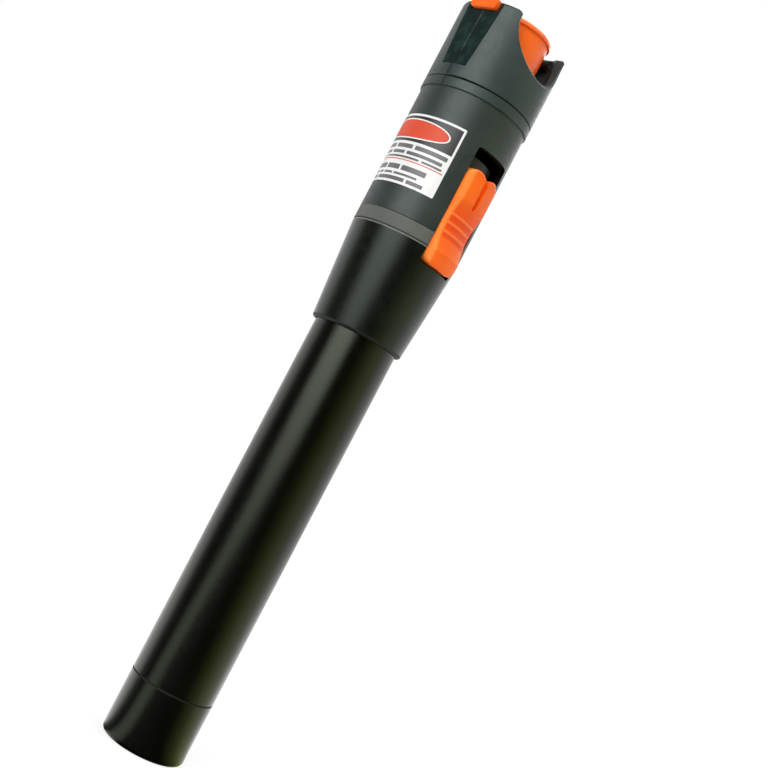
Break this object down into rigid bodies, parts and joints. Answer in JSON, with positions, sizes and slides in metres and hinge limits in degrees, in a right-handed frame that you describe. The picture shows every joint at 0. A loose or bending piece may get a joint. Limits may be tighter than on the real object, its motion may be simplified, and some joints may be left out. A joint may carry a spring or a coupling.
{
  "type": "visual fault locator",
  "caption": "Pen-shaped visual fault locator: battery barrel with screw tail cap, wider head with sliding thumb switch, hinged dust lid over the fibre port.",
  "frame": {"origin": "centre of the tail cap's flat end face", "axes": "+Z along the pen from the tail to the fibre port; the thumb switch faces -Y; the lid's tab points to -X and its hinge is on +X"},
  "size_m": [0.0258, 0.026, 0.1758],
  "materials": {
    "black_anodised": "satin",
    "black_gloss": "gloss",
    "black_matte": "matte",
    "grey_band": "matte",
    "orange_plastic": "satin",
    "carrier_plastic": "matte",
    "lever_plastic": "satin",
    "seal_rubber": "matte",
    "contact_brass": "satin",
    "barrel_brass": "turned",
    "spring_steel": "drawn",
    "pin_steel": "satin",
    "switch_case_steel": "stamped",
    "cell_jacket": "satin",
    "board_laminate": "satin",
    "lens_glass": "polished",
    "port_nickel": "satin",
    "sleeve_ceramic": "polished"
  },
  "bodies": {
    "housing": {"battery_tube": "black_anodised", "battery_rear": "cell_jacket", "battery_front": "cell_jacket", "front_contact": "contact_brass", "contact_insulator": "board_laminate", "neck_cone": "black_gloss", "band_ring": "grey_band", "head_body": "black_matte", "head_ring": "black_matte", "head_cap": "black_matte", "lid_hinge_pin": "pin_steel", "slide_switch_body": "switch_case_steel", "circuit_board": "board_laminate", "board_screws": "pin_steel", "chassis": "carrier_plastic", "laser_barrel": "barrel_brass", "laser_diode": "pin_steel", "focus_lens": "lens_glass", "ferrule_adapter": "port_nickel", "ceramic_sleeve": "sleeve_ceramic"},
    "thumb_switch": {"switch_button": "orange_plastic", "switch_carrier": "carrier_plastic", "switch_lever": "lever_plastic"},
    "lid": {"dust_lid": "orange_plastic"},
    "tail_contacts": {"tail_contact_plate": "contact_brass", "tail_spring": "spring_steel"},
    "screw_cap": {"tail_cap": "black_anodised", "tail_seal": "seal_rubber"}
  },
  "joints": [
    {"name": "switch_slide", "type": "slide", "parent": "housing", "child": "thumb_switch", "axis": [0, 0, 1], "range_m": [0, 0.004]},
    {"name": "lid_hinge", "type": "hinge", "parent": "housing", "child": "lid", "pos_m": [0.01065, 0, 0.17395], "axis": [0, 1, 0], "range_deg": [0, 160]},
    {"name": "tail_feed", "type": "slide", "parent": "housing", "child": "tail_contacts", "axis": [0, 0, -1], "range_m": [0, 0.006]},
    {"name": "tail_screw", "type": "hinge", "parent": "tail_contacts", "child": "screw_cap", "pos_m": [0, 0, 0.0146], "axis": [0, 0, -1], "range_deg": [0, 2160]}
  ],
  "couplings": [
    {"joint": "tail_feed", "follows": "tail_screw", "m_per_rad": 0.00015915}
  ]
}
